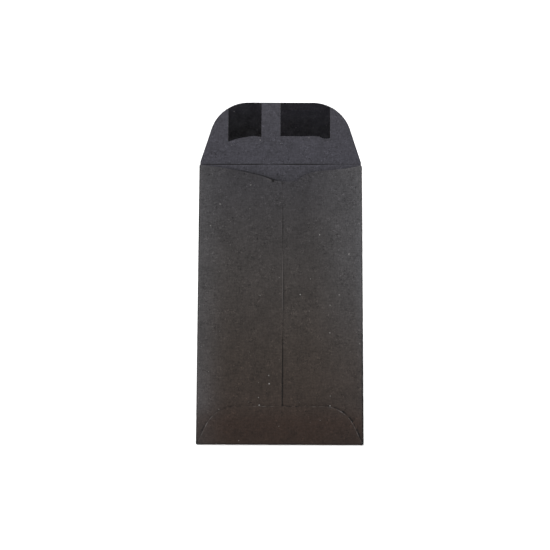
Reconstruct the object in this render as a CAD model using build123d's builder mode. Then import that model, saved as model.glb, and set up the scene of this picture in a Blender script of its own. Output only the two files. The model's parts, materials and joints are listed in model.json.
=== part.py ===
from build123d import *
import math
import os

# Open-end coin envelope, folded from one die-cut sheet of paper and glued.
# Frame: origin at the centre of the front panel's outer face, +X across the width,
# +Y along the length towards the seal flap, +Z up through the thickness.
# The envelope lies on its front panel, seam side up, with the seal flap open flat.
# Every length is in millimetres.

# Driving dimensions: the sheet and its finished size
paper = 0.16
body_width = 63.5
body_length = 107.95
pocket_gap = 0.50
glue_film = 0.03

# Seam between the back panels: where the upper panel's cut edge lies, and how far the panels lap
seam_edge_x = 1.0
seam_lap = 10.0
step_run = 1.0
step_clearance = 0.2
seam_glue_width = 7.0

# Bottom flap, measured up from the bottom edge
bottom_flap_height = 14.6
bottom_flap_lean = 25.0
bottom_flap_corner = 13.0

# Seal flap, measured up from the crease
seal_flap_base_width = 62.9
seal_flap_height = 25.05
seal_flap_lean = 17.6
seal_flap_corner = 15.4
crease_axis_height = 0.80

# Heights in the folded stack
pocket_ceiling = paper + pocket_gap
back_top = pocket_ceiling + paper
ply_step = paper + glue_film
bottom_flap_underside = back_top + glue_film
bottom_flap_top = bottom_flap_underside + paper
stack_top = bottom_flap_top + ply_step

# Fold lines: where each flat panel ends and its fold begins
side_radius = back_top / 2
bottom_radius = bottom_flap_top / 2
side_line_x = body_width / 2 - side_radius
bottom_line_y = -body_length / 2 + bottom_radius
crease_y = body_length / 2
crease_half_length = math.pi * (crease_axis_height - paper / 2) / 2
mouth_line_y = crease_y - crease_half_length

# Small setbacks that keep the panels' cut edges clear of the folds
edge_clearance = 0.05
between_folds_half_width = side_line_x - edge_clearance
back_panel_bottom_y = bottom_line_y + 1.0
side_fold_bottom_y = -body_length / 2 + 0.15
side_fold_top_y = crease_y - 0.25

# Glue under the bottom flap, and gum on the seal flap
pad_low = 4.0
pad_high = 11.2
pad_outer_x = 26.0
pad_inner_gap = 1.2
gum_film = 0.03
gum_low = 11.5
gum_edge_inset = 0.15


def half_turn(centre, outer_radius, start_angle):
    """Section of the sheet bent through half a turn, drawn in the active sketch."""
    inner_radius = outer_radius - paper
    with BuildLine() as section:
        outer_arc = CenterArc(centre, outer_radius, start_angle, 180)
        inner_arc = CenterArc(centre, inner_radius, start_angle, 180)
        Line(outer_arc @ 0, inner_arc @ 0)
        Line(outer_arc @ 1, inner_arc @ 1)
    make_face(section.edges())


def ply_section(underside):
    """Section of one ply of paper, drawn in the active sketch from the line of its underside."""
    top_face = [(x, z + paper) for x, z in reversed(underside)]
    with BuildLine() as section:
        Polyline(*underside, *top_face, close=True)
    make_face(section.edges())


def flap_outline(base_y, base_half_width, height, lean, corner_radius):
    """Outline of a flap with leaning sides and two round upper corners, in the active sketch.

    Its sides lean inwards by lean degrees from +Y.
    """
    top_half_width = base_half_width - height * math.tan(math.radians(lean))
    top_y = base_y + height
    with BuildLine() as outline:
        FilletPolyline(
            (-base_half_width, base_y),
            (-top_half_width, top_y),
            (top_half_width, top_y),
            (base_half_width, base_y),
            radius=corner_radius,
        )
        Line((-base_half_width, base_y), (base_half_width, base_y))
    make_face(outline.edges())


os.makedirs("parts", exist_ok=True)

# Front panel: the flat that the envelope lies on
with BuildPart() as front_panel:
    with BuildSketch(Plane.XY):
        with Locations((0, (bottom_line_y + mouth_line_y) / 2)):
            Rectangle(2 * side_line_x, mouth_line_y - bottom_line_y)
    extrude(amount=paper)
front_panel.part.label = "front_panel"
export_step(front_panel.part, "parts/front_panel.step")

# Side folds: the sheet rolled over along each long edge
for side, name, start_angle in ((-1, "left_side_fold", 90), (1, "right_side_fold", -90)):
    with BuildPart() as side_fold:
        with BuildSketch(Plane.XZ.offset(-side_fold_top_y)):
            half_turn((side * side_line_x, side_radius), side_radius, start_angle)
        extrude(amount=side_fold_top_y - side_fold_bottom_y)
    side_fold.part.label = name
    export_step(side_fold.part, f"parts/{name}.step")

# Left back panel: the upper ply of the seam, stepped up over the right panel's cut edge
under_edge_x = seam_edge_x - seam_lap
step_end_x = under_edge_x - step_clearance
step_start_x = step_end_x - step_run
with BuildPart() as left_back_panel:
    with BuildSketch(Plane.XZ.offset(-crease_y)):
        ply_section([
            (-side_line_x, pocket_ceiling),
            (step_start_x, pocket_ceiling),
            (step_end_x, pocket_ceiling + ply_step),
            (seam_edge_x, pocket_ceiling + ply_step),
        ])
    extrude(amount=crease_y - back_panel_bottom_y)
    with BuildSketch(Plane.XY):
        with BuildLine():
            left_throat = Spline(
                (-side_line_x, side_fold_top_y),
                (-20.9, crease_y - 1.7),
                (-12.0, crease_y - 3.55),
                (-5.2, crease_y - 5.45),
                (-2.6, crease_y - 6.4),
                (seam_edge_x, crease_y - 6.6),
            )
            Polyline(
                left_throat @ 1,
                (seam_edge_x, back_panel_bottom_y),
                (-side_line_x, back_panel_bottom_y),
                left_throat @ 0,
            )
        make_face()
    extrude(amount=stack_top, mode=Mode.INTERSECT)
left_back_panel.part.label = "left_back_panel"
export_step(left_back_panel.part, "parts/left_back_panel.step")

# Right back panel: the lower ply of the seam
with BuildPart() as right_back_panel:
    with BuildSketch(Plane.XY.offset(pocket_ceiling)):
        with BuildLine():
            right_throat = Spline(
                (side_line_x, side_fold_top_y),
                (24.4, crease_y - 1.6),
                (15.1, crease_y - 2.6),
                (10.5, crease_y - 3.7),
                (7.9, crease_y - 5.3),
                (6.2, crease_y - 6.7),
            )
            Polyline(
                right_throat @ 1,
                (under_edge_x, crease_y - 7.0),
                (under_edge_x, back_panel_bottom_y),
                (side_line_x, back_panel_bottom_y),
                right_throat @ 0,
            )
        make_face()
    extrude(amount=paper)
right_back_panel.part.label = "right_back_panel"
export_step(right_back_panel.part, "parts/right_back_panel.step")

# Seam glue: a strip of dried adhesive along the middle of the lap
seam_glue_bottom_y = back_panel_bottom_y + 1.0
seam_glue_top_y = crease_y - 10.0
with BuildPart() as seam_glue:
    with BuildSketch(Plane.XY.offset(back_top)):
        with Locations((seam_edge_x - seam_lap / 2, (seam_glue_bottom_y + seam_glue_top_y) / 2)):
            RectangleRounded(seam_glue_width, seam_glue_top_y - seam_glue_bottom_y, 2)
    extrude(amount=glue_film)
seam_glue.part.label = "seam_glue"
export_step(seam_glue.part, "parts/seam_glue.step")

# Bottom fold: the sheet rolled over along the bottom edge
with BuildPart() as bottom_fold:
    with BuildSketch(Plane.YZ.offset(-between_folds_half_width)):
        half_turn((bottom_line_y, bottom_radius), bottom_radius, 90)
    extrude(amount=2 * between_folds_half_width)
bottom_fold.part.label = "bottom_fold"
export_step(bottom_fold.part, "parts/bottom_fold.step")

# Bottom flap: glued over both back panels and pressed into a raised channel over the seam's lap
hump_x = [
    step_start_x - step_clearance,
    step_end_x - step_clearance,
    seam_edge_x + step_clearance,
    seam_edge_x + step_clearance + step_run,
]
bottom_flap_top_y = -body_length / 2 + bottom_flap_height
flat_heights = [bottom_flap_underside] * len(hump_x)
hump_heights = [bottom_flap_underside, bottom_flap_underside + ply_step]
hump_heights += reversed(hump_heights)
blank_top_y = bottom_flap_top_y + 1.0
lap_bottom_y = back_panel_bottom_y - 0.1
with BuildPart() as bottom_flap:
    for section_y, heights in ((bottom_line_y, flat_heights), (lap_bottom_y, hump_heights)):
        with BuildSketch(Plane.XZ.offset(-section_y)):
            ply_section([
                (-side_line_x, bottom_flap_underside),
                *zip(hump_x, heights),
                (side_line_x, bottom_flap_underside),
            ])
    loft(ruled=True)
    with BuildSketch(Plane.XZ.offset(-blank_top_y)):
        ply_section([
            (-side_line_x, bottom_flap_underside),
            *zip(hump_x, hump_heights),
            (side_line_x, bottom_flap_underside),
        ])
    extrude(amount=blank_top_y - lap_bottom_y)
    with BuildSketch(Plane.XY):
        flap_outline(
            bottom_line_y,
            between_folds_half_width,
            bottom_flap_height - bottom_radius,
            bottom_flap_lean,
            bottom_flap_corner,
        )
    extrude(amount=2 * stack_top, mode=Mode.INTERSECT)
bottom_flap.part.label = "bottom_flap"
export_step(bottom_flap.part, "parts/bottom_flap.step")

# Bottom flap glue: one pad on each back panel, clear of the raised channel
pad_spans = (
    ("bottom_flap_glue_left", -pad_outer_x, hump_x[0] - pad_inner_gap),
    ("bottom_flap_glue_right", hump_x[-1] + pad_inner_gap, pad_outer_x),
)
pad_centre_y = -body_length / 2 + (pad_low + pad_high) / 2
for name, low_x, high_x in pad_spans:
    with BuildPart() as glue_pad:
        with BuildSketch(Plane.XY.offset(back_top)):
            with Locations(((low_x + high_x) / 2, pad_centre_y)):
                RectangleRounded(high_x - low_x, pad_high - pad_low, 2)
        extrude(amount=glue_film)
    glue_pad.part.label = name
    export_step(glue_pad.part, f"parts/{name}.step")

# Flap crease: the scored strip that bends round the closed mouth, as long as half its bend circle.
# It is as wide as the seal flap above the side folds' ends, and fits between them below.
flap_base_y = crease_y + crease_half_length
crease_shoulder_y = side_fold_top_y + edge_clearance
with BuildPart() as flap_crease:
    with BuildSketch(Plane.XY):
        with Locations((0, crease_y)):
            Rectangle(2 * between_folds_half_width, 2 * crease_half_length)
        with Locations((0, (crease_shoulder_y + flap_base_y) / 2)):
            Rectangle(seal_flap_base_width, flap_base_y - crease_shoulder_y)
    extrude(amount=paper)
flap_crease.part.label = "flap_crease"
export_step(flap_crease.part, "parts/flap_crease.step")

# Seal flap: tapered, with large round corners
flap_base_half_width = seal_flap_base_width / 2
flap_depth = seal_flap_height - crease_half_length
with BuildPart() as seal_flap:
    with BuildSketch(Plane.XY):
        flap_outline(flap_base_y, flap_base_half_width, flap_depth, seal_flap_lean, seal_flap_corner)
    extrude(amount=paper)
seal_flap.part.label = "seal_flap"
export_step(seal_flap.part, "parts/seal_flap.step")

# Gum patches: dried gum on the flap's inner face, either side of a bare gap, with brushed lower edges
left_gum_lower_edge = [
    (-20.65, 9.2),
    (-17.6, 10.3),
    (-14.0, 11.05),
    (-10.6, gum_low),
    (-7.55, 11.15),
]
right_gum_lower_edge = [
    (-0.15, gum_low),
    (5.0, gum_low),
    (10.0, gum_low),
    (14.8, 11.4),
    (18.0, 10.55),
    (19.45, 11.0),
]
for name, lower_edge in (("gum_patch_left", left_gum_lower_edge), ("gum_patch_right", right_gum_lower_edge)):
    with BuildPart() as gum_patch:
        with BuildSketch(Plane.XY.offset(paper)):
            with BuildLine():
                brushed_edge = Spline(*[(x, crease_y + height) for x, height in lower_edge])
                brush_start = brushed_edge @ 0
                brush_end = brushed_edge @ 1
                Polyline(
                    brush_start,
                    (brush_start.X, crease_y + seal_flap_height),
                    (brush_end.X, crease_y + seal_flap_height),
                    brush_end,
                )
            make_face()
        extrude(amount=gum_film)
        with BuildSketch(Plane.XY):
            flap_outline(
                flap_base_y,
                flap_base_half_width - gum_edge_inset,
                flap_depth - gum_edge_inset,
                seal_flap_lean,
                seal_flap_corner,
            )
        extrude(amount=paper + gum_film, mode=Mode.INTERSECT)
    gum_patch.part.label = name
    export_step(gum_patch.part, f"parts/{name}.step")
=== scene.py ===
"""Looks of a black open-end coin envelope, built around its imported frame.

Every panel and fold of the paper sheet is rebuilt as a fine closed mesh of the paper's real
thickness. Lengths in this file are millimetres in the row frame; MM turns them into metres.
"""
import json
import math

import bpy
import numpy as np
from mathutils import Matrix, Vector


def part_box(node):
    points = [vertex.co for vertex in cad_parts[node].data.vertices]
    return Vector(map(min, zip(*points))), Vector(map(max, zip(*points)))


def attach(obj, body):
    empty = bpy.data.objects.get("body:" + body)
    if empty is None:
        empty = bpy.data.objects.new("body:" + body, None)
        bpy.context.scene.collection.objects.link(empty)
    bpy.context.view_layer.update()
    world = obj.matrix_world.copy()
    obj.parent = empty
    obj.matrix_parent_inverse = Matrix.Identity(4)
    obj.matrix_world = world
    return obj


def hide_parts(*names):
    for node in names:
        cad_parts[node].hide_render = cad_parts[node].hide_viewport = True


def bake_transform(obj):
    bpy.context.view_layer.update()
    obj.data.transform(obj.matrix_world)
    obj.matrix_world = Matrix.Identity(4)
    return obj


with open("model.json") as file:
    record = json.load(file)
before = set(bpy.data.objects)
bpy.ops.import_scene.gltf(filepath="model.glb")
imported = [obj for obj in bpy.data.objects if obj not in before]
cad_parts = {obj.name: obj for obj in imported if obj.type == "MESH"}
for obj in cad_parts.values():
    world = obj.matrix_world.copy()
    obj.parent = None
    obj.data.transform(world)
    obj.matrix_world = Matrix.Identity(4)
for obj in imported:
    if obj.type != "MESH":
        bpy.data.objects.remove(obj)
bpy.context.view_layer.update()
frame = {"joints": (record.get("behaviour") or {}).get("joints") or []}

MM = 0.001


# ------ measures from the frame

def box_mm(node):
    """Lowest and highest corner of a CAD node, in millimetres."""
    low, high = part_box(node)
    return np.array(low) / MM, np.array(high) / MM


front_low, front_high = box_mm("front_panel")
side_low, side_high = box_mm("right_side_fold")
under_low, under_high = box_mm("right_back_panel")
_, upper_high = box_mm("left_back_panel")
_, bottom_fold_high = box_mm("bottom_fold")
bottom_flap_low, _ = box_mm("bottom_flap")
_, crease_high = box_mm("flap_crease")
flap_low, flap_high = box_mm("seal_flap")
seam_glue_low, seam_glue_high = box_mm("seam_glue")

PAPER = front_high[2]
GLUE = seam_glue_high[2] - seam_glue_low[2]
FOLD_X = front_high[0]
BODY_EDGE_X = side_high[0]
BOTTOM_LINE_Y = front_low[1]
MOUTH_LINE_Y = front_high[1]
CREASE_Y = frame["joints"][0]["pos_m"][1] / MM
UNDER_EDGE_X = under_low[0]
SEAM_EDGE_X = upper_high[0]
PANEL_BOTTOM_Y = under_low[1]
PANEL_TOP_Y = under_high[1]
FLAP_BASE_Y = flap_low[1]
FLAP_TOP_Y = flap_high[1]
UNDER_PLY_Z = (under_low[2] + under_high[2]) / 2
PLY_STEP = upper_high[2] - under_high[2]
BOTTOM_FLAP_Z = bottom_flap_low[2] + PAPER / 2
SIDE_RADIUS = (UNDER_PLY_Z - PAPER / 2) / 2  # of the folds, at the paper's middle
BOTTOM_RADIUS = (BOTTOM_FLAP_Z - PAPER / 2) / 2


# ------ curves and the shape of the pocket

def smooth(t):
    """0 below 0, 1 above 1 and an S curve between."""
    t = np.clip(t, 0, 1)
    return t * t * (3 - 2 * t)


def rise(value, start, end):
    """0 below start, 1 above end and an S curve between."""
    return smooth((value - start) / (end - start))


def curve_through(points, at):
    """Natural cubic spline through (position, value) points, evaluated at positions `at`."""
    xs = np.array([p[0] for p in points], float)
    ys = np.array([p[1] for p in points], float)
    step = np.diff(xs)
    slope = np.diff(ys) / step
    system = np.eye(len(xs))
    right = np.zeros(len(xs))
    for i in range(1, len(xs) - 1):
        system[i, i - 1:i + 2] = step[i - 1], 2 * (step[i - 1] + step[i]), step[i]
        right[i] = 6 * (slope[i] - slope[i - 1])
    bend = np.linalg.solve(system, right)
    at = np.clip(at, xs[0], xs[-1])
    i = np.clip(np.searchsorted(xs, at) - 1, 0, len(step) - 1)
    a = (xs[i + 1] - at) / step[i]
    b = 1 - a
    cubic = ((a ** 3 - a) * bend[i] + (b ** 3 - b) * bend[i + 1]) * step[i] ** 2 / 6
    return a * ys[i] + b * ys[i + 1] + cubic


RIPPLE_WAVES = (45, 27, 19, 15)


def ripple(x, y, seed):
    """Slow unevenness, between about -1 and 1. The seed turns and shifts its waves."""
    total = 0.0
    for k, wave in enumerate(RIPPLE_WAVES):
        turn = 2.4 * k + 0.9 * seed
        along = math.cos(turn) * x + math.sin(turn) * y
        total = total + np.sin(2 * math.pi * along / wave + 1.7 * seed + k) / (k + 1.5)
    return total / 1.6


POCKET_RISE = 0.85  # how far the empty pocket springs open at mid-length
SHOULDER = 24  # distance from a side fold over which the back rises
BOTTOM_SHOULDER = 34  # and from the bottom fold
MOUTH_SHARE = 0.3  # share of the rise that is left at the mouth
MOUTH_REACH = 46  # distance from the mouth over which it falls to that share
SHOULDER_POWER = 3
RIPPLE_HEIGHT = 0.045
CALM_SIDE = 12  # the unevenness dies out within these distances of the side folds
CALM_BOTTOM = 16  # and of the panels' bottom edges


def shoulder(distance, reach):
    """Rounded rise from 0 at a fold to 1 at `reach` from it, steepest at the fold."""
    return 1 - (1 - np.clip(distance / reach, 0, 1)) ** SHOULDER_POWER


def rise_along(y):
    """Rise of the back's middle above the flat stack, by place along the length."""
    from_bottom = shoulder(y - PANEL_BOTTOM_Y, BOTTOM_SHOULDER)
    near_mouth = smooth((y - (PANEL_TOP_Y - MOUTH_REACH)) / MOUTH_REACH)
    return POCKET_RISE * from_bottom * (1 - (1 - MOUTH_SHARE) * near_mouth)


def fold_tilt(y):
    """Angle at which the back leaves the side folds."""
    return np.arctan(rise_along(y) * SHOULDER_POWER / SHOULDER)


def fold_exit_x(y):
    """Distance from the centre line at which the back panels leave the side folds."""
    return FOLD_X + SIDE_RADIUS * np.sin(fold_tilt(y))


def crown(x, y):
    """Height of the back above the flat stack: the sprung pocket and a slight unevenness."""
    inward = fold_exit_x(y) - np.abs(x)
    calm = smooth(inward / CALM_SIDE) * smooth((y - PANEL_BOTTOM_Y) / CALM_BOTTOM)
    return rise_along(y) * shoulder(inward, SHOULDER) + RIPPLE_HEIGHT * ripple(x, y, seed=1) * calm


# ------ closed sheets from grids

CUT_EDGE_STEPS = [0, 0.06, 0.14, 0.25, 0.4, 0.6, 0.85, 1.15, 1.6]  # distances from a cut edge
EDGE_ROUND = 0.035  # chamfer of a cut paper edge
MOST_ROUND = 0.4  # and its largest share of the thickness
ROUND_REACH = 0.3  # the face beside a chamfer is drawn in over this width
FAR_FROM_EDGE = 4.0  # edge distances are not told apart beyond this
TINY = 1e-9


def spaced(start, end, step, cut_start=False, cut_end=False):
    """Positions from start to end about `step` apart, closer together towards a cut edge."""
    length = end - start
    fine = [f for f in CUT_EDGE_STEPS if f < length / 3]
    head = fine if cut_start else [0]
    tail = [length - f for f in reversed(fine)] if cut_end else [length]
    count = max(1, round((tail[0] - head[-1]) / step))
    middle = np.linspace(head[-1], tail[0], count + 1)
    return start + np.array(head[:-1] + list(middle) + tail[1:])


def spans(places, steps, cut_start=False, cut_end=False):
    """Positions through several places, with a step of its own for each stretch between them."""
    last = len(steps) - 1
    parts = [spaced(*places[k:k + 2], steps[k], cut_start and k == 0, cut_end and k == last)
             for k in range(len(steps))]
    return np.concatenate([part[:-1] for part in parts[:-1]] + parts[-1:])


def grid(columns, rows, height):
    """Grid of points from column positions, row positions and heights, each 1-D or 2-D."""
    shape = np.broadcast_shapes(np.shape(columns), np.shape(rows), np.shape(height))
    return np.stack([np.broadcast_to(v, shape) for v in (columns, rows, height)], 2).astype(float)


def grid_normals(points):
    """Unit normals of a grid of points, by differences along its rows and columns."""
    normals = np.cross(np.gradient(points, axis=1), np.gradient(points, axis=0))
    return normals / np.linalg.norm(normals, axis=2, keepdims=True)


GRID_SIDES = {  # index of each side of a grid, and the sign of its outward direction
    "bottom": ((0, slice(None)), 1),
    "right": ((slice(None), -1), 1),
    "top": ((-1, slice(None)), -1),
    "left": ((slice(None), 0), -1),
}
ALL_SIDES = tuple(GRID_SIDES)


def cut_edges(points, normals, cut):
    """Each grid point's distance to the nearest cut side, and the unit vector away from it."""
    flat = points.reshape(-1, 3)
    nearest = np.full(len(flat), FAR_FROM_EDGE)
    inward = np.zeros_like(flat)
    for side in cut:
        index, _ = GRID_SIDES[side]
        line = points[index]
        start, span = line[:-1], np.diff(line, axis=0)
        offset = flat[:, None] - start
        t = np.clip((offset * span).sum(2) / (span ** 2).sum(1), 0, 1)
        away = offset - t[..., None] * span
        gap = np.linalg.norm(away, axis=2)
        best = gap.argmin(1)
        gap = gap[np.arange(len(flat)), best]
        away = away[np.arange(len(flat)), best] / np.maximum(gap, TINY)[:, None]
        closer = gap < nearest
        nearest[closer], inward[closer] = gap[closer], away[closer]
    nearest, inward = nearest.reshape(points.shape[:2]), inward.reshape(points.shape)
    on_edge = np.zeros_like(points)
    for side in cut:
        index, sign = GRID_SIDES[side]
        tangent = np.gradient(points[index], axis=0)
        across = np.cross(tangent, normals[index])
        on_edge[index] -= sign * across / np.linalg.norm(across, axis=1, keepdims=True)
    length = np.linalg.norm(on_edge, axis=2, keepdims=True)
    inward = np.where(length > 0, on_edge / np.maximum(length, TINY), inward)
    return nearest, inward


def border(rows, columns):
    """Row and column of each grid point on the border, counterclockwise, and the side after it."""
    trip = [(0, c, "bottom") for c in range(columns - 1)]
    trip += [(r, columns - 1, "right") for r in range(rows - 1)]
    trip += [(rows - 1, c, "top") for c in range(columns - 1, 0, -1)]
    trip += [(r, 0, "left") for r in range(rows - 1, 0, -1)]
    return np.array([t[0] for t in trip]), np.array([t[1] for t in trip]), [t[2] for t in trip]


def store(mesh, name, kind, values):
    """Writes a per-vertex attribute that the materials read."""
    attribute = mesh.attributes.new(name, kind, "POINT")
    field = "vector" if kind == "FLOAT_VECTOR" else "value"
    attribute.data.foreach_set(field, np.asarray(values, np.float32).ravel())


def sheet_faces(rows, columns, ring):
    """Faces of a closed sheet, the material of each, and the loops of vertices round its rim.

    Its vertices are the upper face's, the lower face's, and two loops round the rim between them.
    """
    count, size = rows * columns, len(ring)
    corner = (np.arange(rows - 1)[:, None] * columns + np.arange(columns - 1)).ravel()
    upper = np.stack([corner, corner + 1, corner + columns + 1, corner + columns], 1)
    rim = 2 * count + np.arange(size)
    loops = [ring, rim, rim + size, count + ring]
    rim_faces = [
        np.stack([np.roll(above, -1), above, below, np.roll(below, -1)], 1)
        for above, below in zip(loops[:-1], loops[1:])
    ]
    faces = np.concatenate([upper, count + upper[:, ::-1], *rim_faces])
    return faces, np.repeat([0, 1, 2], [len(corner), len(corner), 3 * size]), loops


def sharpen_whole_sides(mesh, loops, side_after, cut):
    """Marks the edges of the faces sharp along the sides that aren't cut."""
    size = len(side_after)
    whole = [k for k in range(size) if side_after[k] not in cut]
    sharp = {frozenset((int(loop[k]), int(loop[(k + 1) % size])))
             for loop in (loops[0], loops[-1]) for k in whole}
    for edge in mesh.edges:
        edge.use_edge_sharp = frozenset(edge.vertices) in sharp


def new_object(name, data):
    """An object in the scene, for a mesh, a light or a camera."""
    item = bpy.data.objects.new(name, data)
    bpy.context.scene.collection.objects.link(item)
    return item


def closed_sheet(name, middle, thickness, materials, cut=(), relief=0, marks=None):
    """A closed mesh around a grid of middle-surface points: rows along +Y, columns along +X.

    materials are those of the upper face, the lower face and the rim. `cut` names the sides where
    the paper is cut: their rims are chamfered. relief is added to the height of the upper face.
    marks holds further values for each grid point, stored by name for the materials.
    """
    rows, columns, _ = middle.shape
    chamfer = min(EDGE_ROUND, thickness * MOST_ROUND)
    normal = grid_normals(middle)
    distance, inward = cut_edges(middle, normal, cut)
    pulled = middle + inward * (chamfer * np.clip(1 - distance / ROUND_REACH, 0, 1))[..., None]
    relief = np.broadcast_to(relief, (rows, columns))[..., None]
    upper = pulled + normal * (thickness / 2 + relief)
    lower = pulled - normal * thickness / 2

    ring_row, ring_column, side_after = border(rows, columns)
    edge_middle, edge_normal = middle[ring_row, ring_column], normal[ring_row, ring_column]
    depth = thickness / 2 - chamfer
    rim = [edge_middle + edge_normal * depth, edge_middle - edge_normal * depth]
    vertices = np.concatenate([upper.reshape(-1, 3), lower.reshape(-1, 3), *rim])
    ring = ring_row * columns + ring_column
    faces, face_material, loops = sheet_faces(rows, columns, ring)

    mesh = bpy.data.meshes.new(name)
    mesh.from_pydata((vertices * MM).tolist(), [], faces.tolist())
    for material in materials:
        mesh.materials.append(material)
    mesh.polygons.foreach_set("material_index", face_material.tolist())
    mesh.polygons.foreach_set("use_smooth", [True] * len(faces))
    sharpen_whole_sides(mesh, loops, side_after, cut)

    store(mesh, "rest", "FLOAT_VECTOR", vertices)
    for mark, values in {"edge": distance, **(marks or {})}.items():
        flat = np.broadcast_to(values, (rows, columns)).ravel()
        store(mesh, mark, "FLOAT", np.concatenate([flat, flat, flat[ring], flat[ring]]))
    return new_object(name, mesh)


def finish_piece(piece, node, body="pocket"):
    """Hangs a piece on its body and hides the CAD node it stands for."""
    if body:
        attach(piece, body)
    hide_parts(node)


def paper_sheet(node, points, faces, slot="paper_outside", body="pocket", **how):
    """A panel or fold of the paper sheet, in the place of its CAD node."""
    sheet = closed_sheet(node + "_sheet", points, PAPER, faces, **how)
    finish_piece(sheet, node, body)


# ------ materials

class Shader:
    """The node tree of a material or a world, with short calls for common nodes."""

    def __init__(self, owner, surface="Principled BSDF"):
        owner.use_nodes = True
        self.owner = owner
        self.tree = owner.node_tree
        self.surface = self.tree.nodes[surface]

    def plug(self, socket, value):
        """Links a socket into another, or sets it to a plain value."""
        if isinstance(value, bpy.types.NodeSocket):
            self.tree.links.new(value, socket)
        else:
            socket.default_value = value

    def set(self, name, value):
        self.plug(self.surface.inputs[name], value)

    def node(self, kind, inputs, **settings):
        """A new node. inputs maps the names or numbers of its inputs to their values."""
        node = self.tree.nodes.new("ShaderNode" + kind)
        for name, setting in settings.items():
            setattr(node, name, setting)
        for name, value in inputs.items():
            self.plug(node.inputs[name], value)
        return node

    def attribute(self, name, output="Fac"):
        return self.node("Attribute", {}, attribute_name=name).outputs[output]

    def math(self, operation, a, b=0):
        return self.node("Math", {0: a, 1: b}, operation=operation).outputs[0]

    def times(self, a, b):
        return self.math("MULTIPLY", a, b)

    def plus(self, a, b):
        return self.math("ADD", a, b)

    def minus(self, a, b):
        return self.math("SUBTRACT", a, b)

    def varied(self, *terms):
        """1 plus the sum of weight * (value - 0.5) over (value, weight) terms."""
        total = 1.0
        for value, weight in terms:
            total = self.plus(self.times(self.minus(value, 0.5), weight), total)
        return total

    def stretched(self, vector, factors):
        return self.node("VectorMath", {0: vector, 1: factors}, operation="MULTIPLY").outputs[0]

    def split(self, vector):
        return self.node("SeparateXYZ", {0: vector}).outputs

    def noise(self, vector, per_mm, detail=2, roughness=0.5):
        inputs = {"Vector": vector, "Scale": per_mm, "Detail": detail, "Roughness": roughness}
        return self.node("TexNoise", inputs).outputs["Fac"]

    def ramp(self, value, start, end, at_start=0, at_end=1):
        """Smooth step of value, from at_start where it is start to at_end where it is end."""
        if start > end:
            start, end, at_start, at_end = end, start, at_end, at_start
        inputs = {"Value": value, "From Min": start, "From Max": end,
                  "To Min": at_start, "To Max": at_end}
        return self.node("MapRange", inputs, interpolation_type="SMOOTHSTEP").outputs["Result"]

    def mix(self, factor, a, b, blend="MIX"):
        node = self.node("Mix", {"Factor": factor}, data_type="RGBA", blend_type=blend)
        colours = [socket for socket in node.inputs if socket.type == "RGBA"]
        self.plug(colours[0], a)
        self.plug(colours[1], b)
        return next(socket for socket in node.outputs if socket.type == "RGBA")

    def shaded(self, colour, factor):
        """Colour times a grey factor."""
        grey = self.node("CombineColor", {0: factor, 1: factor, 2: factor}).outputs[0]
        return self.mix(1, colour, grey, "MULTIPLY")

    def specks(self, vector, per_mm, size, share):
        """Sparse uneven specks between 0 and 1. size is in cells, share that of filled cells."""
        inputs = {"Vector": vector, "Scale": per_mm}
        cells = self.node("TexVoronoi", inputs, voronoi_dimensions="2D").outputs
        pick, spread, glow = self.split(cells["Color"])
        chosen = self.math("GREATER_THAN", pick, 1 - share)
        ragged = self.times(self.noise(vector, 2.2), 1.6)
        reach = self.times(self.times(self.plus(spread, 0.5), ragged), size)
        near = self.math("LESS_THAN", cells["Distance"], reach)
        return self.times(self.times(near, chosen), self.plus(self.times(glow, 0.75), 0.25))

    def contour_lines(self, vector, per_mm, half_width):
        """1 along the curling lines where a noise crosses its middle value, 0 elsewhere."""
        value = self.noise(vector, per_mm, roughness=0.6)
        return self.ramp(self.math("ABSOLUTE", self.minus(value, 0.5)), half_width, 0)

    def tone_along(self, y, tones):
        """Colour by place along the length, through (y, colour) pairs."""
        low, high = tones[0][0], tones[-1][0]
        node = self.node("ValToRGB", {"Fac": self.math("DIVIDE", self.minus(y, low), high - low)})
        stops = node.color_ramp.elements
        stops[0].color = (*tones[0][1], 1)
        stops[-1].color = (*tones[-1][1], 1)
        for place, colour in tones[1:-1]:
            stops.new((place - low) / (high - low)).color = (*colour, 1)
        return node.outputs["Color"]

    def bump(self, height, depth_mm):
        bump = self.node("Bump", {"Height": height, "Distance": depth_mm * MM})
        self.set("Normal", bump.outputs[0])


LINT_COLOUR = (0.17, 0.165, 0.16, 1)
# colour of the painted highlights along free edges
HIGHLIGHT_COLOUR = (0.064, 0.058, 0.057, 1)
# colour of the painted sheen beside the back's long edges
SIDE_SHEEN_COLOUR = (0.042, 0.041, 0.0435, 1)
GUM_COLOUR = (0.0022, 0.0021, 0.0029, 1)
ADHESIVE_COLOUR = (0.2, 0.19, 0.16, 1)
CARD_COLOUR = (0.94, 0.94, 0.94, 1)
# Colours of the paper along the length, as (y, colour): its outer face, inner face and cut edges. Their
# darkening and warmer tint towards the bottom are painted fall-off of the light.
OUTSIDE_TONES = [(-54, (0.0133, 0.0074, 0.0051)), (-46, (0.0159, 0.009, 0.0064)),
                 (-38, (0.0191, 0.0134, 0.0107)), (-20, (0.0216, 0.0166, 0.0138)),
                 (13, (0.0238, 0.021, 0.0201)), (30, (0.0227, 0.0207, 0.0212)),
                 (46, (0.0219, 0.0207, 0.023))]
INSIDE_TONES = [(-54, (0.02, 0.019, 0.0215)), (46, (0.0235, 0.0227, 0.027)),
                (56, (0.0266, 0.0257, 0.0321)), (78, (0.0276, 0.0266, 0.0325))]
CUT_TONES = [(-54, (0.023, 0.017, 0.015)), (78, (0.032, 0.031, 0.034))]
ALONG_X = (0.45, 2.6, 1)  # stretches a noise of 1 per mm into streaks along X
ALONG_Y = (2.6, 0.45, 1)
MIRRORED = (0.8, -1.1, 1)  # turns a pattern into one that doesn't match it
HAIR_CURLS = 0.75  # scale, per mm, of the noise whose contours are curling fibres
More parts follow.
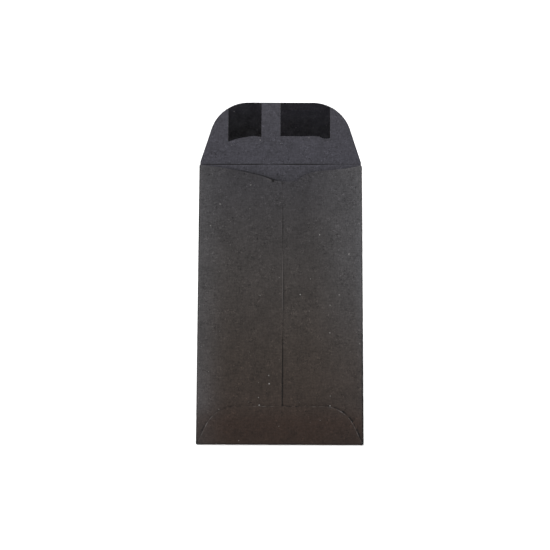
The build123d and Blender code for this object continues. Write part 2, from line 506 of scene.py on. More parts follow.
PAPER_HAIR = 0.032  # their half width, in the noise's value
GUM_HAIR = 0.04
HIGHLIGHT_SHARE = 0.4  # of the painted highlight colour in the paper, for each unit of "pale"


def paper_hairs(shader, place):
    """Curling fibres in the surface, in clumps: above 0 where they are pale, below where dark."""
    clumps = shader.ramp(shader.noise(place, 0.25), 0.4, 0.62, 0.25, 1)
    mirrored = shader.stretched(place, MIRRORED)
    pale_bits = shader.times(shader.ramp(shader.noise(mirrored, 0.9), 0.5, 0.58), clumps)
    dark_bits = shader.times(shader.ramp(shader.noise(place, 1), 0.54, 0.46), clumps)
    pale = shader.times(shader.contour_lines(place, HAIR_CURLS, PAPER_HAIR), pale_bits)
    dark = shader.times(shader.contour_lines(mirrored, HAIR_CURLS, PAPER_HAIR), dark_bits)
    return shader.minus(shader.times(pale, 1.1), shader.times(dark, 0.75))


def side_sheen_band(shader, y, to_left, to_right):
    """Painted sheen that lightens the back beside its two long edges."""
    right_amount = shader.ramp(y, -35, 30, 0.12, 0.72)
    right_band = shader.plus(shader.ramp(to_right, 22, 1), shader.ramp(to_right, 3.6, 0.9, 0, 0.55))
    left_band = shader.math("POWER", shader.ramp(to_left, 17, -1), 2)
    bands = shader.math("MAXIMUM", shader.times(left_band, 0.62), shader.times(right_band, right_amount))
    return shader.times(bands, shader.ramp(y, -46, -38, 0.45, 1))


def roll_shade(shader, x, y, to_right, from_side):
    """Painted shade, below 0, where the paper rolls over a side fold away from the light, weakest at the
    upper right and lower left, and along the bottom fold and the lower right edge.
    """
    amount = shader.ramp(shader.times(y, shader.math("SIGN", x)), 30, -20, 0.3, 0.75)
    sides = shader.times(shader.ramp(from_side, 0.55, 0.15, 0, -1), amount)
    foot = shader.ramp(y, BOTTOM_LINE_Y + 0.7, BOTTOM_LINE_Y - 0.2, 0, -0.32)
    low_right = shader.ramp(to_right, 1.1, 0.4, 0, -0.45)
    low_right = shader.times(low_right, shader.ramp(y, 5, -20))
    return shader.plus(sides, shader.plus(foot, low_right))


def edge_highlight(shader, from_side, cloud):
    """Painted highlight along the crests beside the side folds and, in patches, along cut edges."""
    crest = shader.times(shader.ramp(from_side, 1.1, 0.75), shader.ramp(from_side, 0.4, 0.65, 0, 0.28))
    cut = shader.ramp(shader.attribute("edge"), 0.4, 0.1, 0, 0.5)
    return shader.plus(crest, shader.times(cut, shader.ramp(cloud, 0.44, 0.6)))


def paper_material(name, tones, side_sheen=False):
    """Black paper with tooth, crossed fibre streaks and lint, with painted light and shade at its folds
    and edges.

    tones gives its colour along the length. Paper for the back also gets a painted sheen along its long
    edges.
    """
    shader = Shader(bpy.data.materials.new(name))
    place = shader.attribute("rest", "Vector")
    x, y, _ = shader.split(place)
    cloud = shader.noise(place, 0.09)
    felt = shader.noise(place, 0.4)
    tooth = shader.noise(place, 1.3, detail=3, roughness=0.6)
    streak_x = shader.noise(shader.stretched(place, ALONG_X), 1)
    streak_y = shader.noise(shader.stretched(place, ALONG_Y), 1)
    fibre = shader.noise(place, 6, detail=3, roughness=0.7)

    to_right = shader.minus(BODY_EDGE_X, x)
    to_left = shader.plus(x, BODY_EDGE_X)
    from_side = shader.math("MINIMUM", to_left, to_right)
    base = shader.tone_along(y, tones)
    if side_sheen:
        # painted sheen beside the long edges
        base = shader.mix(side_sheen_band(shader, y, to_left, to_right), base, SIDE_SHEEN_COLOUR)
    grain = shader.varied((cloud, 0.5), (felt, 0.5), (tooth, 0.65), (streak_x, 0.6),
                          (streak_y, 0.6), (fibre, 0.5))
    grain = shader.plus(grain, paper_hairs(shader, place))
    # painted shade at the folds, and painted highlights along crests and cut edges
    painted_light_and_shade = shader.plus(roll_shade(shader, x, y, to_right, from_side),
                       shader.times(edge_highlight(shader, from_side, cloud), tooth))
    # painted shade from the marks: edge shadows, corner shade and the crease groove; below 0, painted
    # light
    unshaded = shader.minus(1, shader.attribute("painted_shading"))
    shade = shader.times(shader.plus(grain, painted_light_and_shade), unshaded)
    # painted highlight along free edges where "pale" is set
    painted_highlight = shader.math("MINIMUM", shader.times(shader.attribute("pale"), HIGHLIGHT_SHARE), 1)
    colour = shader.mix(painted_highlight, shader.shaded(base, shade), HIGHLIGHT_COLOUR)
    lint = shader.times(shader.specks(place, per_mm=0.26, size=0.058, share=0.12), 0.7)
    shader.set("Base Color", shader.mix(lint, colour, LINT_COLOUR))
    shader.set("Roughness", shader.ramp(tooth, 0.2, 0.8, 0.92, 0.76))
    shader.set("Specular IOR Level", 0.2)
    height = shader.varied((tooth, 1), (streak_x, 0.9), (streak_y, 0.9), (fibre, 0.5), (felt, 0.8))
    shader.bump(height, depth_mm=0.03)
    return shader.owner


def gum_material():
    """Dried gum: a dark glossy film with roller streaks across it, a little dust and a painted sheen
    towards the flap's top edge.
    """
    shader = Shader(bpy.data.materials.new("dried_gum"))
    place = shader.attribute("rest", "Vector")
    x, y, _ = shader.split(place)
    streak = shader.noise(shader.stretched(place, (0.1, 1.3, 1)), 1, detail=3)
    blotch = shader.noise(place, 0.25)
    grain = shader.noise(place, 1.6, detail=3, roughness=0.6)
    # painted sheen, lighter towards the flap's top edge
    top_sheen = shader.ramp(y, FLAP_TOP_Y - 11, FLAP_TOP_Y - 1, 0, 1.3)
    rightward = shader.ramp(x, -7, 0, -0.2, 0.25)
    shade = shader.varied((streak, 0.9), (blotch, 2), (grain, 2.2))
    shade = shader.plus(shade, shader.plus(top_sheen, rightward))
    dust = shader.times(shader.specks(place, per_mm=0.33, size=0.06, share=0.1), 0.25)
    hairs = shader.times(shader.contour_lines(place, HAIR_CURLS, GUM_HAIR), 0.027)
    colour = shader.shaded(GUM_COLOUR, shade)
    shader.set("Base Color", shader.mix(shader.plus(dust, hairs), colour, LINT_COLOUR))
    shader.set("Roughness", shader.ramp(blotch, 0.25, 0.75, 0.13, 0.2))
    shader.set("Specular IOR Level", 0.35)
    shader.bump(shader.varied((streak, 1), (grain, 0.2), (blotch, 0.5)), depth_mm=0.004)
    return shader.owner


def adhesive_material():
    """Dried adhesive between plies: a pale, slightly glossy film with fine bubbles."""
    shader = Shader(bpy.data.materials.new("dried_adhesive"))
    place = shader.attribute("rest", "Vector")
    cloud = shader.noise(place, 0.4, detail=3)
    bubbles = shader.specks(place, per_mm=1.6, size=0.22, share=0.35)
    shade = shader.minus(shader.varied((cloud, 0.5)), shader.times(bubbles, 0.25))
    shader.set("Base Color", shader.shaded(ADHESIVE_COLOUR, shade))
    shader.set("Roughness", shader.ramp(cloud, 0.3, 0.7, 0.35, 0.55))
    shader.bump(shader.minus(cloud, bubbles), depth_mm=0.01)
    return shader.owner


def floor_material():
    """Matt white card."""
    shader = Shader(bpy.data.materials.new("white_card"))
    place = shader.node("TexCoord", {}).outputs["Object"]
    grain = shader.noise(place, 900)
    shader.set("Base Color", shader.shaded(CARD_COLOUR, shader.varied((grain, 0.01))))
    shader.set("Roughness", 1)
    shader.set("Specular IOR Level", 0)
    return shader.owner


outside = paper_material("paper_outside", OUTSIDE_TONES, side_sheen=True)
inside = paper_material("paper_inside", INSIDE_TONES)
cut_edge = paper_material("paper_cut_edge", CUT_TONES)
gum = gum_material()
adhesive = adhesive_material()
INNER_FACE_UP = (inside, outside, cut_edge)
OUTER_FACE_UP = (outside, inside, cut_edge)


# ------ outlines of the two flaps

ARC_STEPS = 40  # rows round a flap's corner
FLAP_CENTRE = 11  # columns are evenly spaced up to here from the centre line


class FlapOutline:
    """A flap with leaning sides and round outer corners, and a grid of points over it."""

    def __init__(self, node, lean_degrees, corner_radius):
        low, high = box_mm(node)
        self.half_width, self.base_y, self.top_y = high[0], low[1], high[1]
        self.lean, self.radius = math.radians(lean_degrees), corner_radius
        top_half = self.half_at(self.top_y)
        self.centre_x = top_half - corner_radius * math.tan((math.pi / 2 - self.lean) / 2)
        self.centre_y = self.top_y - corner_radius

    def half_at(self, y):
        """Half width between the straight sides at a height."""
        return self.half_width - (y - self.base_y) * math.tan(self.lean)

    def grid(self):
        """Columns and rows: straight rows between the two sides, which end at the top edge."""
        arc_start_y = self.centre_y + self.radius * math.sin(self.lean)
        straight_y = spaced(self.base_y, arc_start_y, step=0.8)
        turn = np.linspace(self.lean, math.pi / 2, ARC_STEPS + 1)[1:]
        rows = np.append(straight_y, self.centre_y + self.radius * np.sin(turn))[:, None]
        half = np.append(self.half_at(straight_y), self.centre_x + self.radius * np.cos(turn))[:, None]
        reach = self.half_width - FLAP_CENTRE
        share = (spaced(0, reach, step=0.8, cut_end=True) / reach)[None, 1:]
        outer = FLAP_CENTRE + share * (half - FLAP_CENTRE)
        middle = spaced(-FLAP_CENTRE, FLAP_CENTRE, step=0.25)[None, :].repeat(len(rows), 0)
        columns = np.concatenate([-outer[:, ::-1], middle, outer], 1)
        return columns, rows + 0 * columns

    def top_at(self, x, inset):
        """Height of the outer edge at x, drawn in by inset."""
        over = np.maximum(np.abs(x) - self.centre_x, 0)
        return self.centre_y + np.sqrt((self.radius - inset) ** 2 - over ** 2)

    def depth(self, x, y):
        """Distance of each point inside the sides, corners and top edge; negative outside."""
        side = self.half_at(y) - np.abs(x)
        out_x, out_y = np.abs(x) - self.centre_x, y - self.centre_y
        round_part = (out_x > 0) & (out_y > out_x * math.tan(self.lean))
        corner = self.radius - np.hypot(out_x, out_y)
        return np.where(round_part, corner, np.minimum(side * math.cos(self.lean), self.top_y - y))


bottom_outline = FlapOutline("bottom_flap", lean_degrees=25, corner_radius=13)
seal_outline = FlapOutline("seal_flap", lean_degrees=17.6, corner_radius=15.4)


# ------ free edges and the marks on them

# Throat edges as (x, depth below the crease)
LEFT_THROAT = [(-31.34, 0.25), (-20.9, 1.7), (-12, 3.55), (-5.2, 5.45), (-2.6, 6.4), (1, 6.6)]
RIGHT_THROAT = [(6.2, 6.7), (7.9, 5.3), (10.5, 3.7), (15.1, 2.6), (24.4, 1.6), (31.34, 0.25)]
UNDER_LAP_DEPTH = 7  # the same of the lower ply's top corner, under the lap

# How far the seam's free edge wanders sideways, and how far it stands off the ply below, as (y, mm)
SEAM_WANDER = [(-52, -0.25), (-20, -0.25), (-5, 0), (14, 0.02), (23, -0.2), (36, -0.25), (48, -0.2)]
SEAM_LIFT = [(-52, 0.06), (-40, 0.16), (-33, 0.24), (-25, 0.26), (-14, 0.12), (-6, 0.02), (8, 0.1),
             (18, 0.01), (24, 0.02), (31, 0.1), (38, 0), (47, 0)]
SEAM_WAVER = 0.04  # a finer wander on top of that
WAVER_FINENESS = 1.6  # of its waves, against the ripple's

# Painted highlight along each free edge, along the seam as (y, amount) and along the bottom flap and
# the left throat edge as (x, amount). Where it is below 0 the edge gets painted shade instead.
SEAM_HIGHLIGHT = [(-52, 0), (-20, 0), (-7, 0), (-3.5, 0.5), (1, 1.9), (11, 1.9), (16, 0.9), (20, 0.3),
            (30, 0.15), (38, 0.1), (48, 0.1)]
FLAP_HIGHLIGHT = [(-31.3, 0.6), (-29, 1.6), (-26, 1.5), (-22, 0), (-14, -0.2), (-9, 0.7), (-3, 0.6), (0, -0.3),
            (8, -0.3), (12, 0.5), (19, 0.7), (23, 1.8), (28, 2), (31.3, 1)]
THROAT_HIGHLIGHT = [(-31.7, 0), (-20, 0.05), (-12, 0.05), (-7.5, 0.1), (-5.5, 0.4), (-4.2, 0.9), (-3.2, 0),
              (-2.4, -0.1), (0, -0.1), (1.2, 0)]
HIGHLIGHT_WIDTH = 0.35
MOST_SEAM_HIGHLIGHT = 1.9
THROAT_HIGHLIGHT_DEPTH = 0.4  # how far below the throat edge its middle lies

# Painted shadow in the crevice beside each free edge, as above. Below 0 the ply beside it gets painted
# light instead.
SEAM_SHADOW = [(-52, 0.6), (-42, 0.8), (-38, 1), (-31, 1), (-25, 0.85), (-18, 0.7), (-13, 0.25),
                (-5, 0.25), (3, 0.5), (12, 0.2), (20, -0.05), (27, 0.35), (33, 0.3), (38, -0.15),
                (47, -0.25)]
FLAP_SHADOW = [(-31.7, 0.4), (-29, 0.55), (-27, 0.4), (-23, 0.15), (-12, 0.1), (0, 0.2), (12, 0.2),
                (20, 0.5), (24, 1), (28, 1.4), (31.7, 1.2)]
THROAT_SHADOW = [(-31.4, 0), (-25, 0.05), (-21, 0.2), (-16, 0.45), (-10, 0.65), (-6, 0.85), (-3, 1),
                  (-1, 0.3), (1, 0.1), (2.5, -0.15), (6, -0.15), (8, 0), (31.4, 0)]
SHADOW_WIDTH = 0.4
FLAP_SHADOW_WIDTH = 0.38
# How far outside each edge its painted shadow is darkest
SEAM_SHADOW_OFFSET = 0.1
FLAP_SHADOW_OFFSET = 0.2
THROAT_SHADOW_OFFSET = 0.35

THROAT_SPOT = (-2.95, 6.6)  # a spot of painted shadow under the left throat edge, as (x, depth below the crease)
THROAT_SPOT_SIZE = 0.55
PATCH_FINENESS = 16  # of the patches in the painted edge light and shade, against the ripple
PATCH_MIDDLE = 0.6  # their mean strength, their contrast and their greatest strength
PATCH_SPREAD = 1.5
PATCH_MOST = 1.5
CORNER_SHADE = ((-31.3, 1.3), (31.3, 0.5))  # painted shade at the bottom corners, as (x, strength)
CORNER_SHADE_Y = -53.45
CORNER_SHADE_SIZE = 0.5


def seam_shift(rows):
    """Sideways wander of the seam's free edge."""
    return curve_through(SEAM_WANDER, rows) + SEAM_WAVER * ripple(0, rows * WAVER_FINENESS, seed=5)


def band(distance, width):
    """1 on a line and fading to 0 over about `width` on both sides of it."""
    return np.exp(-(distance / width) ** 2)


def patchy(columns, rows, seed):
    """Short stretches where the painted light and shade along edges are stronger and weaker."""
    patches = ripple(columns * PATCH_FINENESS, rows * PATCH_FINENESS, seed)
    return np.clip(PATCH_MIDDLE + PATCH_SPREAD * patches, 0, PATCH_MOST)


def flap_edge_shadow(columns, rows):
    """Painted shadow just outside the bottom flap's edge."""
    painted_shadow = band(bottom_outline.depth(columns, rows) + FLAP_SHADOW_OFFSET, FLAP_SHADOW_WIDTH)
    painted_shadow = painted_shadow * patchy(columns, rows, seed=7) * curve_through(FLAP_SHADOW, columns)
    return np.clip(painted_shadow, 0, 1)


def throat_spot_shadow(columns, rows):
    """Painted shadow at one spot under the left throat edge."""
    away = np.hypot(columns - THROAT_SPOT[0], rows - CREASE_Y + THROAT_SPOT[1]) / THROAT_SPOT_SIZE
    return np.exp(-away ** 4)


def corner_shade(columns, rows):
    """Painted shade at the two bottom corners, where the rolled fold ends in a small open tunnel."""
    dirt = 0.0
    for x, strength in CORNER_SHADE:
        dirt = dirt + strength * band(np.hypot(columns - x, rows - CORNER_SHADE_Y), CORNER_SHADE_SIZE)
    return np.minimum(dirt, 1)


# ------ front panel and folds

ROLL_STEPS = 20  # facets round a fold
THROAT_MARGIN = 1  # the front panel's grid is fine from this far below the throat


def build_front_panel():
    """The front of the envelope, which lies on the table."""
    columns = spaced(-FOLD_X, FOLD_X, step=0.3)[None, :]
    throat_y = CREASE_Y - UNDER_LAP_DEPTH - THROAT_MARGIN
    rows = spans((BOTTOM_LINE_Y, throat_y, MOUTH_LINE_Y), steps=(2, 0.15))[:, None]
    edge_y = CREASE_Y - curve_through(LEFT_THROAT, columns)
    # painted shadow above the left throat edge, with a spot of it under the edge; below 0, painted light
    painted_shadow = band(rows - edge_y - THROAT_SHADOW_OFFSET, SHADOW_WIDTH)
    painted_shadow = painted_shadow * np.minimum(curve_through(THROAT_SHADOW, columns), 1)
    painted_shadow = np.minimum(painted_shadow + throat_spot_shadow(columns, rows), 1)
    paper_sheet("front_panel", grid(columns, rows, PAPER / 2), INNER_FACE_UP,
                slot="paper_inside", marks={"painted_shading": painted_shadow})


def build_side_fold(node, side):
    """The sheet rolled over from the front panel to a back panel, less the tilt of the back."""
    rows = spaced(side_low[1], side_high[1], step=1.2, cut_start=True, cut_end=True)[:, None]
    share = np.linspace(0, 1, ROLL_STEPS)[None, ::side]
    turn = share * (math.pi - fold_tilt(rows))
    columns = side * (FOLD_X + SIDE_RADIUS * np.sin(turn))
    height = PAPER / 2 + SIDE_RADIUS * (1 - np.cos(turn))
    # painted shade at the bottom corners
    paper_sheet(node, grid(columns, rows, height), INNER_FACE_UP, cut=("bottom", "top"),
                marks={"painted_shading": corner_shade(columns, rows)})


def build_bottom_fold():
    """The sheet rolled up from the front panel to the bottom flap."""
    half = bottom_fold_high[0]
    columns = spaced(-half, half, step=0.8, cut_start=True, cut_end=True)[None, :]
    turn = np.linspace(math.pi, 0, ROLL_STEPS)[:, None]
    rows = BOTTOM_LINE_Y - BOTTOM_RADIUS * np.sin(turn)
    height = PAPER / 2 + BOTTOM_RADIUS * (1 - np.cos(turn))
    # painted shade at the bottom corners
    paper_sheet("bottom_fold", grid(columns, rows, height), INNER_FACE_UP, cut=("left", "right"),
                marks={"painted_shading": corner_shade(columns, rows)})


# ------ back panels and the seam

LAP_RAMP = (-10.2, -9.2)  # where the upper ply climbs onto the lower one
SEAM_LIFT_WIDTH = 2.4
THROAT_LIFT = 0.2  # how far the left throat edge stands up at its highest place
THROAT_LIFT_WIDTH = 4
THROAT_LIFT_X = -6  # that place, and how far the lift reaches on both sides of it
THROAT_LIFT_SPAN = 8
FINE_FOOT = 14  # the panels' grids are finer over this length beside the bottom flap
FINE_TOP = 1.6  # and over this length below the throat edge
FINE_SEAM = (-0.4, 1.2)  # the lower ply's is finest here, from the seam's edge
FINE_RAMP = 0.5  # and the upper ply's beside the ramp
DRAW_IN_POWER = 4  # higher, and fewer of the outer columns follow the side folds


def panel_grid(columns, top):
    """Row positions for a back panel: its rows spread from its bottom edge to its throat edge."""
    length = PANEL_TOP_Y - PANEL_BOTTOM_Y
    rows = spans((0, FINE_FOOT, length - FINE_TOP, length), steps=(0.3, 1, 0.2),
                 cut_start=True, cut_end=True)
    share = rows[:, None] / length
    return PANEL_BOTTOM_Y + share * (top - PANEL_BOTTOM_Y) + 0 * columns


def draw_in(flat_x, rows, side):
    """Columns of a back panel, moved so that its outer edge meets the side fold's."""
    share = np.clip(side * flat_x / FOLD_X, 0, 1)
    return flat_x + side * share ** DRAW_IN_POWER * (fold_exit_x(rows) - FOLD_X)


def build_right_back_panel():
    """The lower ply of the seam. Its lap strip runs on under the upper ply."""
    throat_x, throat_depth = RIGHT_THROAT[0]
    fine_start, fine_end = SEAM_EDGE_X + FINE_SEAM[0], SEAM_EDGE_X + FINE_SEAM[1]
    flat_x = spans((UNDER_EDGE_X, fine_start, fine_end, throat_x, FOLD_X),
                   steps=(0.8, 0.1, 0.6, 0.4), cut_start=True)
    under_lap = np.interp(flat_x, (UNDER_EDGE_X, throat_x), (UNDER_LAP_DEPTH, throat_depth))
    depth = np.where(flat_x < throat_x, under_lap, curve_through(RIGHT_THROAT, flat_x))
    rows = panel_grid(flat_x, CREASE_Y - depth)
    columns = draw_in(flat_x, rows, side=1)
    height = UNDER_PLY_Z + crown(columns, rows)
    # painted shadow beside the seam's edge and outside the bottom flap
    painted_shadow = band(columns - SEAM_EDGE_X - seam_shift(rows) - SEAM_SHADOW_OFFSET, SHADOW_WIDTH)
    painted_shadow = painted_shadow * np.minimum(curve_through(SEAM_SHADOW, rows), 1)
    dark = np.minimum(painted_shadow + flap_edge_shadow(columns, rows), 1)
    paper_sheet("right_back_panel", grid(columns, rows, height), OUTER_FACE_UP,
                cut=("left", "bottom", "top"), marks={"painted_shading": dark})


def left_panel_lift(flat_x, rows, top, near_seam):
    """How far the upper ply's two free edges stand off what is below them."""
    by_seam = np.maximum(curve_through(SEAM_LIFT, rows), 0) * near_seam ** 2
    by_throat = smooth((rows - top + THROAT_LIFT_WIDTH) / THROAT_LIFT_WIDTH) ** 2
    return by_seam + THROAT_LIFT * by_throat * band(flat_x - THROAT_LIFT_X, THROAT_LIFT_SPAN)


def left_panel_marks(flat_x, columns, rows, top):
    """Painted highlights and shadows on the upper ply, along the seam, the throat and the bottom flap.
    """
    seam_painted_light = smooth(1 + (flat_x - SEAM_EDGE_X) / HIGHLIGHT_WIDTH)
    seam_painted_light = seam_painted_light * np.clip(curve_through(SEAM_HIGHLIGHT, rows), 0, MOST_SEAM_HIGHLIGHT)
    throat_painted_light = band(top - rows - THROAT_HIGHLIGHT_DEPTH, HIGHLIGHT_WIDTH) * curve_through(THROAT_HIGHLIGHT, columns)
    dark = flap_edge_shadow(columns, rows) + throat_spot_shadow(columns, rows) - np.minimum(throat_painted_light, 0)
    return {"pale": seam_painted_light + np.maximum(throat_painted_light, 0), "painted_shading": np.minimum(dark, 1)}


def build_left_back_panel():
    """The upper ply of the seam, which steps up onto the lower one."""
    start, end = LAP_RAMP
    flat_x = spans((-FOLD_X, start - FINE_RAMP, end + FINE_RAMP, SEAM_EDGE_X),
                   steps=(0.4, 0.1, 0.3), cut_end=True)
    top = CREASE_Y - curve_through(LEFT_THROAT, flat_x)
    rows = panel_grid(flat_x, top)
    near_seam = smooth((flat_x - SEAM_EDGE_X + SEAM_LIFT_WIDTH) / SEAM_LIFT_WIDTH)
    columns = draw_in(flat_x, rows, side=-1) + near_seam * seam_shift(rows)
    step = PLY_STEP * rise(flat_x, start, end)
    lift = left_panel_lift(flat_x, rows, top, near_seam)
    height = UNDER_PLY_Z + crown(columns, rows) + step + lift
    paper_sheet("left_back_panel", grid(columns, rows, height), OUTER_FACE_UP,
                cut=("right", "bottom", "top"), marks=left_panel_marks(flat_x, columns, rows, top))


GLUE_CORNER = 2
GLUE_CORNER_STEPS = 7
GLUE_COLUMNS = 16


def build_glue(name, node):
    """A thin film of adhesive with round corners on the lower ply, where its CAD node lies."""
    low, high = box_mm(node)
    middle, half = (low + high) / 2, (high - low) / 2
    turn = np.linspace(0, math.pi / 2, GLUE_CORNER_STEPS + 1)[1:]
    straight = spaced(GLUE_CORNER - half[1], half[1] - GLUE_CORNER, step=1)
    round_y, round_x = GLUE_CORNER * np.sin(turn), GLUE_CORNER * (1 - np.cos(turn))
    rows = np.concatenate([straight[0] - round_y[::-1], straight, straight[-1] + round_y])[:, None]
    width = half[0] - np.concatenate([round_x[::-1], 0 * straight, round_x])[:, None]
    columns = middle[0] + width * np.linspace(-1, 1, GLUE_COLUMNS)[None, :]
    rows = middle[1] + rows
    height = middle[2] + crown(columns, rows)
    film = closed_sheet(name, grid(columns, rows, height), GLUE, (adhesive,) * 3, cut=ALL_SIDES)
    finish_piece(film, node)


# ------ flaps

HUMP_START = (-10.4, -9.4)  # where the bottom flap climbs onto the seam
HUMP_END = (1.2, 2.2)  # and off it
BOTTOM_LIFT_WIDTH = 3
BOTTOM_LIFT_LEFT = 0.07
BOTTOM_LIFT_RIGHT = 0.2
BOTTOM_LIFT_TURN = (12, 20)  # x between which it goes from the left lift to the right one
BOTTOM_LIFT_SIDES = (8, 18)  # distances from the centre line between which it sets in
BOTTOM_LIFT_CALM = 6  # and the length from the fold over which it does
FLAP_HIGHLIGHT_REACH = 1.3  # in highlight widths, how far in from the edge the painted highlight starts to show


def bottom_flap_lift(columns, rows, depth):
    """How far the bottom flap's edge stands up: not by the fold or at mid-width."""
    by_edge = smooth(1 - depth / BOTTOM_LIFT_WIDTH) ** 2
    off_fold = smooth((rows - BOTTOM_LINE_Y) / BOTTOM_LIFT_CALM)
    by_edge = by_edge * off_fold * rise(np.abs(columns), *BOTTOM_LIFT_SIDES)
    rightward = rise(columns, *BOTTOM_LIFT_TURN)
    return by_edge * (BOTTOM_LIFT_LEFT + (BOTTOM_LIFT_RIGHT - BOTTOM_LIFT_LEFT) * rightward)


def build_bottom_flap():
    """The flap glued up over the back panels, with the seam showing through it as a hump."""
    columns, rows = bottom_outline.grid()
    hump = rise(columns, *HUMP_START) - rise(columns, *HUMP_END)
    hump = hump * rise(rows, BOTTOM_LINE_Y, PANEL_BOTTOM_Y)
    depth = bottom_outline.depth(columns, rows)
    lift = bottom_flap_lift(columns, rows, depth)
    height = BOTTOM_FLAP_Z + crown(columns, rows) + PLY_STEP * hump + lift
    # painted highlight along the flap's edge; below 0, painted shade
    painted_highlight = smooth(FLAP_HIGHLIGHT_REACH - depth / HIGHLIGHT_WIDTH) * patchy(columns, rows, seed=4)
    painted_highlight = painted_highlight * curve_through(FLAP_HIGHLIGHT, columns)
    dark = corner_shade(columns, rows) - np.minimum(painted_highlight, 0)
    paper_sheet("bottom_flap", grid(columns, rows, height), OUTER_FACE_UP,
                cut=("left", "right", "top"), marks={"pale": painted_highlight, "painted_shading": np.clip(dark, 0, 1)})


SCORE_WIDTH = 0.22  # of the crease line pressed into the inner face
SCORE_DEPTH = 0.06
SCORE_SHADE = 1.2
SCORE_RISE = 0.22  # how far above the hinge line it runs at the centre
SCORE_SLANT = 0.005
CREST_OFFSET = 2.2  # how far below the score the paper bulges, in score widths
CREST_HEIGHT = 0.3  # height of that crest, as a share of the score's depth
CREST_HIGHLIGHT = 0.4  # its painted highlight
BEND_HALF = 0.5  # the crease bends within this distance of its line
CREASE_NARROWING = 0.17  # how much the strip draws in on each side between the side folds
NARROWING_END = 0.1  # and the length over which that ends beyond them
# How strongly the score shows across the width, as (x, strength)
SCORE_STRENGTH = [(-31.5, 0.25), (-27, 0.65), (-17, 0.8), (-9, 0.75), (-4, 0.4), (1, 0.8), (9, 0.9),
                  (17, 0.65), (24, 0.3), (31.5, 0.25)]


def build_flap_crease():
    """The scored strip between the front panel and the seal flap."""
    half = crease_high[0]
    columns = spaced(-half, half, step=0.5, cut_start=True, cut_end=True)[None, :]
    rows = spans((MOUTH_LINE_Y, CREASE_Y - BEND_HALF, CREASE_Y + BEND_HALF, FLAP_BASE_Y),
                 steps=(0.15, 0.04, 0.15))[:, None]
    above = rows - CREASE_Y - SCORE_RISE - SCORE_SLANT * columns
    narrowing = CREASE_NARROWING * smooth((side_high[1] - rows) / NARROWING_END + 1)
    columns = columns * (1 - narrowing / half)
    strength = curve_through(SCORE_STRENGTH, columns)
    groove = strength * band(above, SCORE_WIDTH)
    crest = strength * band(above + CREST_OFFSET * SCORE_WIDTH, SCORE_WIDTH)
    relief = CREST_HEIGHT * SCORE_DEPTH * crest - SCORE_DEPTH * groove
    # painted shade in the score's groove, with the pressed fibres' darker tone, less a painted highlight
    # on its crest
    painted_shading = np.minimum(SCORE_SHADE * groove, 1) - CREST_HIGHLIGHT * crest
    sheet = closed_sheet("flap_crease_strip", grid(columns, rows, PAPER / 2), PAPER, INNER_FACE_UP,
                         cut=("left", "right"), relief=relief, marks={"painted_shading": painted_shading})
    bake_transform(sheet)
    finish_piece(sheet, "flap_crease", body=None)


FLAP_WAVE = 0.04
FLAP_WAVE_CALM = 10  # the wave dies out within this distance of the crease


def flap_wave(columns, rows):
    """Height of the open seal flap above the table: a slight wave that dies out at the crease."""
    wave = 0.5 + 0.5 * ripple(columns, rows, seed=3)
    return FLAP_WAVE * wave * smooth((rows - FLAP_BASE_Y) / FLAP_WAVE_CALM)


def build_seal_flap():
    """The open flap, its inner face up."""
    columns, rows = seal_outline.grid()
    height = PAPER / 2 + flap_wave(columns, rows)
    paper_sheet("seal_flap", grid(columns, rows, height), INNER_FACE_UP,
                slot="paper_inside", body="flap", cut=("left", "right", "top"))


GUM_FILM = 0.03
GUM_INSET = 0.15  # bare paper left between the gum and the flap's edge
GUM_RIDGE = 0.012  # the film dries thicker along its rim
GUM_RIDGE_RISE = 0.15  # distances from the rim: the ridge is full from here
GUM_RIDGE_FALL = (0.3, 0.9)  # and falls away between these
# Brushed lower edges of the two patches, as (x, height above the crease)
LEFT_BRUSHED = [(-20.65, 9.2), (-17.6, 10.3), (-14, 11.05), (-10.6, 11.5), (-7.55, 11.15)]
RIGHT_BRUSHED = [(-0.15, 11.5), (5, 11.5), (10, 11.5), (14.8, 11.4), (18, 10.55), (19.45, 11)]


def build_gum_patch(name, node, brushed):
    """A film of dried gum, from its brushed lower edge to just inside the flap's outer edge."""
    x = spaced(brushed[0][0], brushed[-1][0], step=0.4, cut_start=True, cut_end=True)[None, :]
    lower = CREASE_Y + curve_through(brushed, x)
    upper = seal_outline.top_at(x, GUM_INSET)
    length = float((upper - lower).mean())
    share = (spaced(0, length, step=0.4, cut_start=True, cut_end=True) / length)[:, None]
    rows = lower + share * (upper - lower)
    columns = x + 0 * rows
    from_rim = np.minimum(np.minimum(columns - x.min(), x.max() - columns),
                          np.minimum(rows - lower, upper - rows))
    ridge = smooth(from_rim / GUM_RIDGE_RISE) - rise(from_rim, *GUM_RIDGE_FALL)
    height = PAPER + GUM_FILM / 2 + flap_wave(columns, rows)
    film = closed_sheet(name, grid(columns, rows, height), GUM_FILM, (gum,) * 3, cut=ALL_SIDES,
                        relief=GUM_RIDGE * ridge)
    finish_piece(film, node, "flap")


# ------ the object

build_front_panel()
build_side_fold("left_side_fold", side=-1)
build_side_fold("right_side_fold", side=1)
build_right_back_panel()
build_left_back_panel()
build_glue("seam_glue_film", "seam_glue")
build_bottom_fold()
build_bottom_flap()
build_glue("bottom_glue_film_left", "bottom_flap_glue_left")
build_glue("bottom_glue_film_right", "bottom_flap_glue_right")
build_flap_crease()
build_seal_flap()
build_gum_patch("gum_film_left", "gum_patch_left", LEFT_BRUSHED)
build_gum_patch("gum_film_right", "gum_patch_right", RIGHT_BRUSHED)


# ------ floor, light and camera

FLOOR_HALF = 0.9  # metres
FLOOR_DROP = 0.02  # the floor's clearance below the envelope, in millimetres
LIGHT_DISTANCE = 1.6  # metres


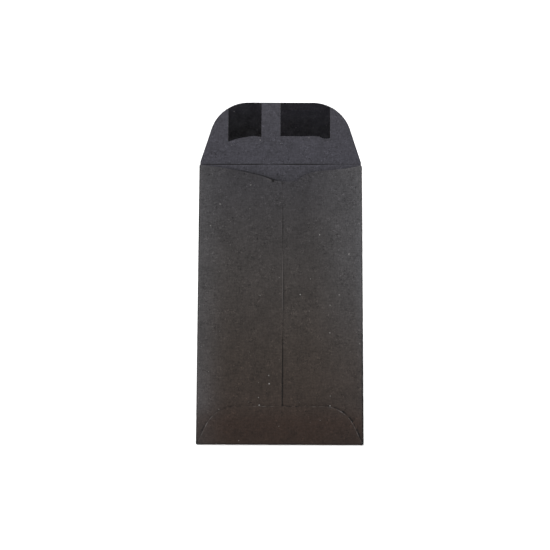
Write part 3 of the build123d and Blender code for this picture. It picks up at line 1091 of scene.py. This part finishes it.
def build_floor():
    """A large flat sheet of white card under the object."""
    mesh = bpy.data.meshes.new("floor")
    corners = [(FLOOR_HALF * x, FLOOR_HALF * y, -FLOOR_DROP * MM)
               for x, y in ((-1, -1), (1, -1), (1, 1), (-1, 1))]
    mesh.from_pydata(corners, [], [(0, 1, 2, 3)])
    mesh.materials.append(floor_material())
    new_object("floor", mesh)


def area_light(name, azimuth, elevation, radiance, size):
    """A square soft box aimed at the object. Azimuth is measured from +X towards +Y."""
    around, up = math.radians(azimuth), math.radians(elevation)
    direction = Vector((math.cos(around) * math.cos(up), math.sin(around) * math.cos(up), math.sin(up)))
    data = bpy.data.lights.new(name, "AREA")
    data.shape = "SQUARE"
    data.size = size
    data.energy = radiance * math.pi * size * size
    light = new_object(name, data)
    light.location = direction * LIGHT_DISTANCE
    light.rotation_euler = direction.to_track_quat("Z", "Y").to_euler()


HORIZON_GLOW = (12, 34)  # elevations, in degrees, between which the glow fades


def build_world(overhead, horizon):
    """An even glow overhead that brightens to white behind the horizon."""
    shader = Shader(bpy.data.worlds.new("studio"), "Background")
    direction = shader.node("TexCoord", {}).outputs["Generated"]
    low, high = (math.sin(math.radians(elevation)) for elevation in HORIZON_GLOW)
    glow = shader.ramp(shader.split(direction)["Z"], low, high, horizon, overhead)
    shader.set("Color", (1, 1, 1, 1))
    shader.set("Strength", glow)
    bpy.context.scene.world = shader.owner


CAMERA_TARGET = Vector((-2.03, 10.68, 0)) * MM
CAMERA_DISTANCE = 331 * MM
CAMERA_TILT = 5.83  # degrees from straight above, towards the bottom of the envelope
CAMERA_ROLL = 0.23
CAMERA_LENS = 56.05


def build_camera():
    """The camera looks almost straight down on the back of the envelope."""
    data = bpy.data.cameras.new("camera")
    data.sensor_width = 36.0
    data.lens = CAMERA_LENS
    data.clip_start = 0.01
    camera = new_object("camera", data)
    tilt = Matrix.Rotation(math.radians(CAMERA_TILT), 4, "X")
    roll = Matrix.Rotation(math.radians(CAMERA_ROLL), 4, "Z")
    away = Matrix.Translation((0, 0, CAMERA_DISTANCE))
    camera.matrix_world = Matrix.Translation(CAMERA_TARGET) @ tilt @ roll @ away
    bpy.context.scene.camera = camera


build_floor()
area_light("key_light", azimuth=125, elevation=43, radiance=15.1, size=0.8)
area_light("side_fill", azimuth=5, elevation=42, radiance=5.9, size=0.9)
area_light("front_fill", azimuth=-100, elevation=42, radiance=5.7, size=0.9)
build_world(overhead=0.15, horizon=1.05)
build_camera()
bpy.context.scene.view_settings.view_transform = "Standard"
